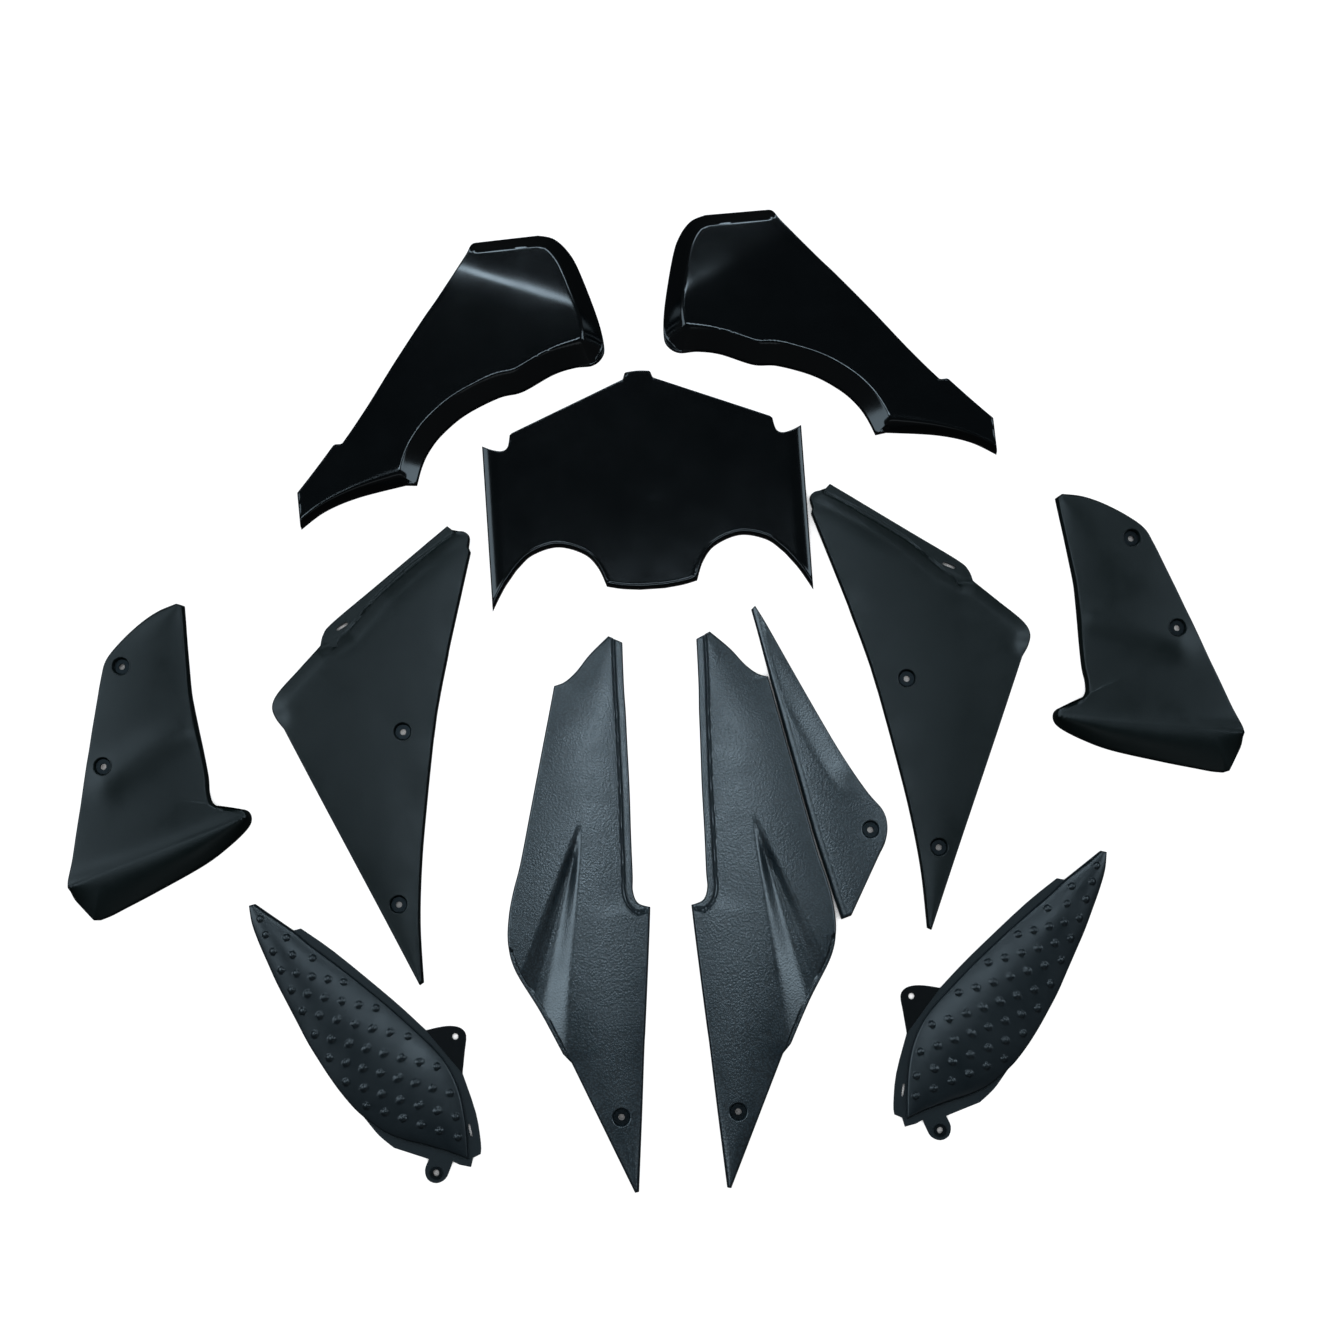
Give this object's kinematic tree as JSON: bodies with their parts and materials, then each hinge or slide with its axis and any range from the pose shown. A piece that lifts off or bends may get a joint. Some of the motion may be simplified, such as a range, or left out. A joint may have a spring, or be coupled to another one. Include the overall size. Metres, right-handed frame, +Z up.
{
  "type": "motorcycle fairing panel set",
  "caption": "Set of loose moulded plastic trim panels for a motorcycle, laid out face up in a fan: mirrored pairs, a centre panel and a wedge cover.",
  "frame": {"origin": "on the surface the panels lie on, at the middle of the layout's box", "axes": "+X to the right of the layout, +Y from the side covers' tips towards the duct panels, +Z up, out of the panels' faces"},
  "size_m": [1.0416, 0.8926, 0.022],
  "materials": {
    "gloss_panel": "gloss",
    "satin_panel": "satin",
    "grained_panel": "fine moulded grain, semi gloss",
    "grip_carrier": "satin",
    "grip_pad": "satin",
    "grip_bracket": "satin",
    "screw_collar": "zinc plated"
  },
  "bodies": {
    "nose": {"nose_panel": "gloss_panel"},
    "duct_left": {"duct_panel_left": "gloss_panel"},
    "fin_left": {"fin_panel_left": "satin_panel", "fin_collars_left": "screw_collar"},
    "frame_left": {"frame_cover_left": "satin_panel", "frame_cover_collars_left": "screw_collar"},
    "side_left": {"side_cover_left": "grained_panel", "side_cover_collar_left": "screw_collar"},
    "grip_left": {"grip_carrier_left": "grip_carrier", "grip_pad_left": "grip_pad", "grip_bracket_left": "grip_bracket", "grip_lug_collar_left": "screw_collar"},
    "duct_right": {"duct_panel_right": "gloss_panel"},
    "fin_right": {"fin_panel_right": "satin_panel", "fin_collars_right": "screw_collar"},
    "frame_right": {"frame_cover_right": "satin_panel", "frame_cover_collars_right": "screw_collar"},
    "side_right": {"side_cover_right": "grained_panel", "side_cover_collar_right": "screw_collar"},
    "grip_right": {"grip_carrier_right": "grip_carrier", "grip_pad_right": "grip_pad", "grip_bracket_right": "grip_bracket", "grip_lug_collar_right": "screw_collar"},
    "wedge": {"wedge_cover_right": "grained_panel", "wedge_collar": "screw_collar"}
  },
  "joints": [
    {"name": "duct_left_lift", "type": "slide", "parent": "nose", "child": "duct_left", "axis": [0, 0, 1], "range_m": [0, 0.15]},
    {"name": "fin_left_lift", "type": "slide", "parent": "nose", "child": "fin_left", "axis": [0, 0, 1], "range_m": [0, 0.15]},
    {"name": "frame_left_lift", "type": "slide", "parent": "nose", "child": "frame_left", "axis": [0, 0, 1], "range_m": [0, 0.15]},
    {"name": "side_left_lift", "type": "slide", "parent": "nose", "child": "side_left", "axis": [0, 0, 1], "range_m": [0, 0.15]},
    {"name": "grip_left_lift", "type": "slide", "parent": "nose", "child": "grip_left", "axis": [0, 0, 1], "range_m": [0, 0.15]},
    {"name": "duct_right_lift", "type": "slide", "parent": "nose", "child": "duct_right", "axis": [0, 0, 1], "range_m": [0, 0.15]},
    {"name": "fin_right_lift", "type": "slide", "parent": "nose", "child": "fin_right", "axis": [0, 0, 1], "range_m": [0, 0.15]},
    {"name": "frame_right_lift", "type": "slide", "parent": "nose", "child": "frame_right", "axis": [0, 0, 1], "range_m": [0, 0.15]},
    {"name": "side_right_lift", "type": "slide", "parent": "nose", "child": "side_right", "axis": [0, 0, 1], "range_m": [0, 0.15]},
    {"name": "grip_right_lift", "type": "slide", "parent": "nose", "child": "grip_right", "axis": [0, 0, 1], "range_m": [0, 0.15]},
    {"name": "wedge_lift", "type": "slide", "parent": "nose", "child": "wedge", "axis": [0, 0, 1], "range_m": [0, 0.15]}
  ]
}
